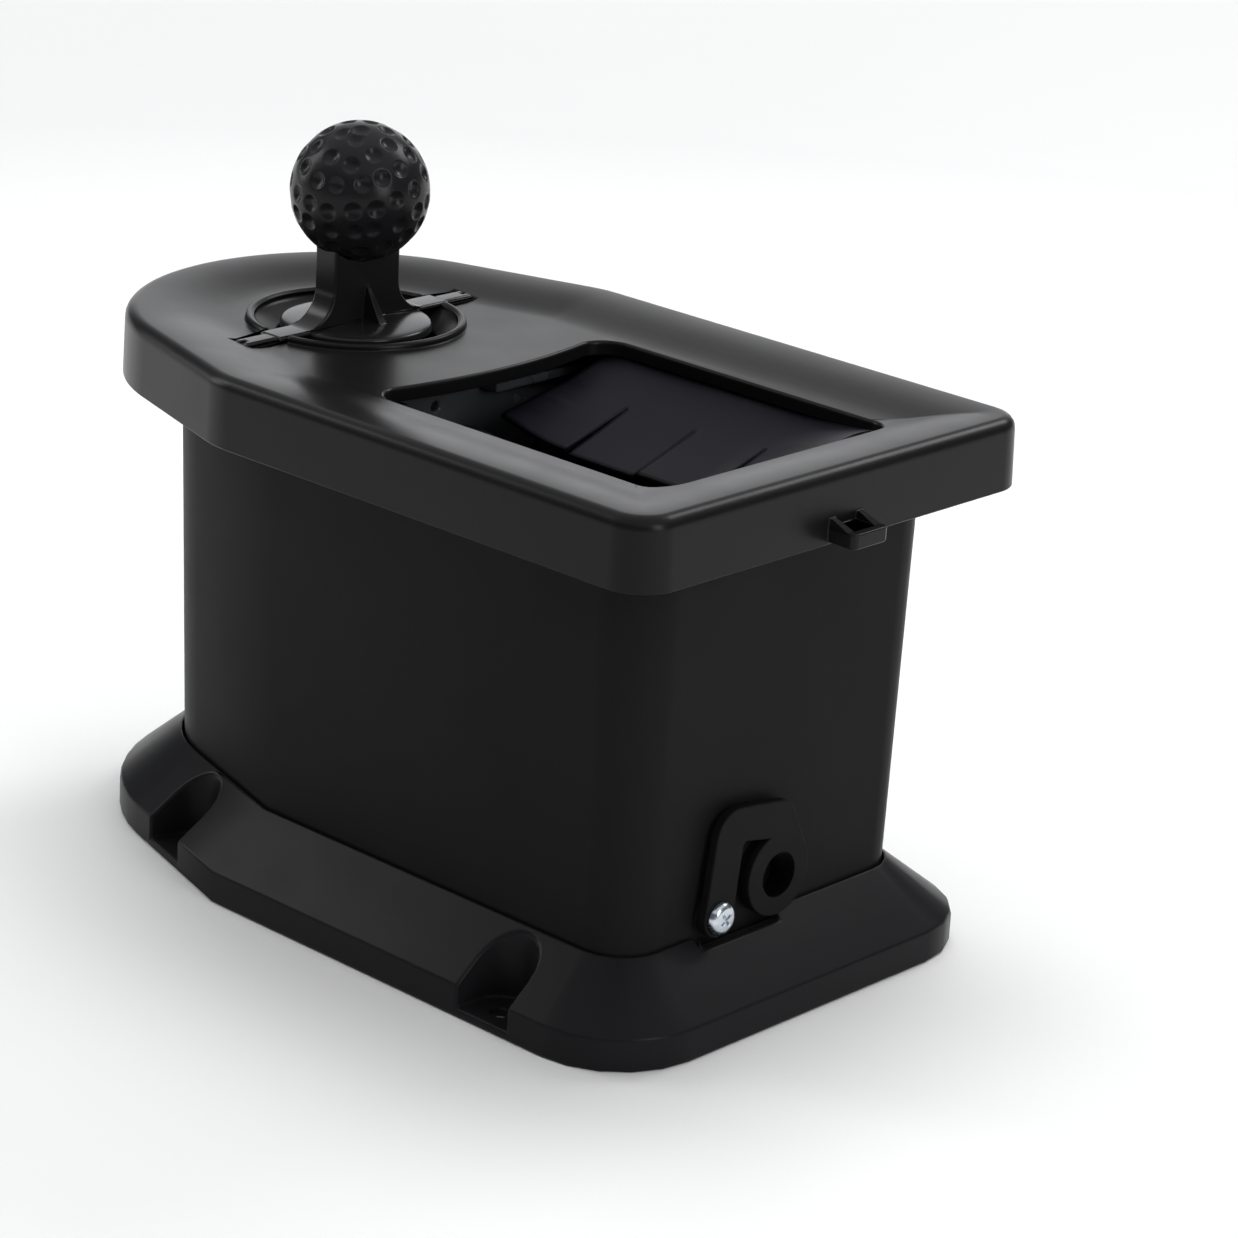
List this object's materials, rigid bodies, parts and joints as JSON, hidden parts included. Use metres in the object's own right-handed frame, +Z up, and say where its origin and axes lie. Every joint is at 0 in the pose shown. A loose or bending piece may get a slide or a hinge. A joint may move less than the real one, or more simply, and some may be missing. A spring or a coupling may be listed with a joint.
{
  "type": "golf ball washer",
  "caption": "Golf ball and club washer: a moulded water tank on a screw-down base, a dished lid, a knob plunger for the ball and a flapped opening for clubs.",
  "frame": {"origin": "centre of the washer's own box, towel loop included, on the plane that its base stands on", "axes": "+X towards the square end with the drain plug and towel loop, -X towards the round end with the plunger, -Y towards the near long side in the picture, +Z up"},
  "size_m": [0.2802, 0.165, 0.223],
  "materials": {
    "lid_plastic": "satin moulded, fine grain",
    "tank_plastic": "satin moulded",
    "base_plastic": "semi-gloss moulded",
    "knob_plastic": "satin moulded",
    "inner_plastic": "satin moulded",
    "bristle": "drawn nylon filament",
    "flap_rubber": "smooth sheet",
    "plug_rubber": "matte moulded",
    "gasket_rubber": "matte",
    "zinc": "bright zinc plated"
  },
  "bodies": {
    "washer_body": {"base_flange": "base_plastic", "tank": "tank_plastic", "lid": "lid_plastic", "lid_gasket": "gasket_rubber", "divider_wall": "inner_plastic", "ball_brush_back_inner": "inner_plastic", "ball_brush_back_nose": "inner_plastic", "ball_brush_bristles_inner": "bristle", "ball_brush_bristles_nose": "bristle", "club_brush_back_front": "inner_plastic", "club_brush_back_rear": "inner_plastic", "club_brush_back_floor": "inner_plastic", "club_brush_bristles_front": "bristle", "club_brush_bristles_rear": "bristle", "club_brush_bristles_floor": "bristle", "flap_clamp_front": "inner_plastic", "flap_clamp_rear": "inner_plastic", "drain_strap": "plug_rubber", "drain_strap_screw": "zinc", "base_screw_1": "zinc", "base_screw_2": "zinc", "base_screw_3": "zinc", "base_screw_4": "zinc", "lid_screw_1": "zinc", "lid_screw_2": "zinc", "lid_screw_3": "zinc", "lid_screw_4": "zinc", "lid_screw_5": "zinc", "lid_screw_6": "zinc", "ball_brush_screw_1": "zinc", "ball_brush_screw_2": "zinc", "ball_brush_screw_3": "zinc", "ball_brush_screw_4": "zinc", "club_brush_screw_1": "zinc", "club_brush_screw_2": "zinc", "club_brush_screw_3": "zinc", "club_brush_screw_4": "zinc", "flap_clamp_screw_1": "zinc", "flap_clamp_screw_2": "zinc", "flap_clamp_screw_3": "zinc", "flap_clamp_screw_4": "zinc"},
    "plunger": {"knob_ball": "knob_plastic", "knob_stud": "zinc", "plunger_handle": "knob_plastic", "ball_ring": "inner_plastic", "ball_ring_screw": "zinc"},
    "flap_front": {"splash_flap_front": "flap_rubber"},
    "flap_rear": {"splash_flap_rear": "flap_rubber"},
    "drain_plug_body": {"drain_plug": "plug_rubber"}
  },
  "joints": [
    {"name": "plunger_lift", "type": "slide", "parent": "washer_body", "child": "plunger", "axis": [0, 0, 1], "range_m": [0, 0.075]},
    {"name": "flap_rear_bend", "type": "hinge", "parent": "washer_body", "child": "flap_rear", "pos_m": [0.0448, 0.052, 0.1559], "axis": [1, 0, 0], "range_deg": [0, 40], "stiffness_Nm_per_rad": 0.08, "springref_deg": -8.59},
    {"name": "flap_front_bend", "type": "hinge", "parent": "washer_body", "child": "flap_front", "pos_m": [0.0448, -0.052, 0.1559], "axis": [-1, 0, 0], "range_deg": [0, 40], "stiffness_Nm_per_rad": 0.08, "springref_deg": -8.59},
    {"name": "drain_plug_pull", "type": "slide", "parent": "washer_body", "child": "drain_plug_body", "axis": [1, 0, 0], "range_m": [0, 0.014], "deforming": ["drain_strap"]}
  ]
}
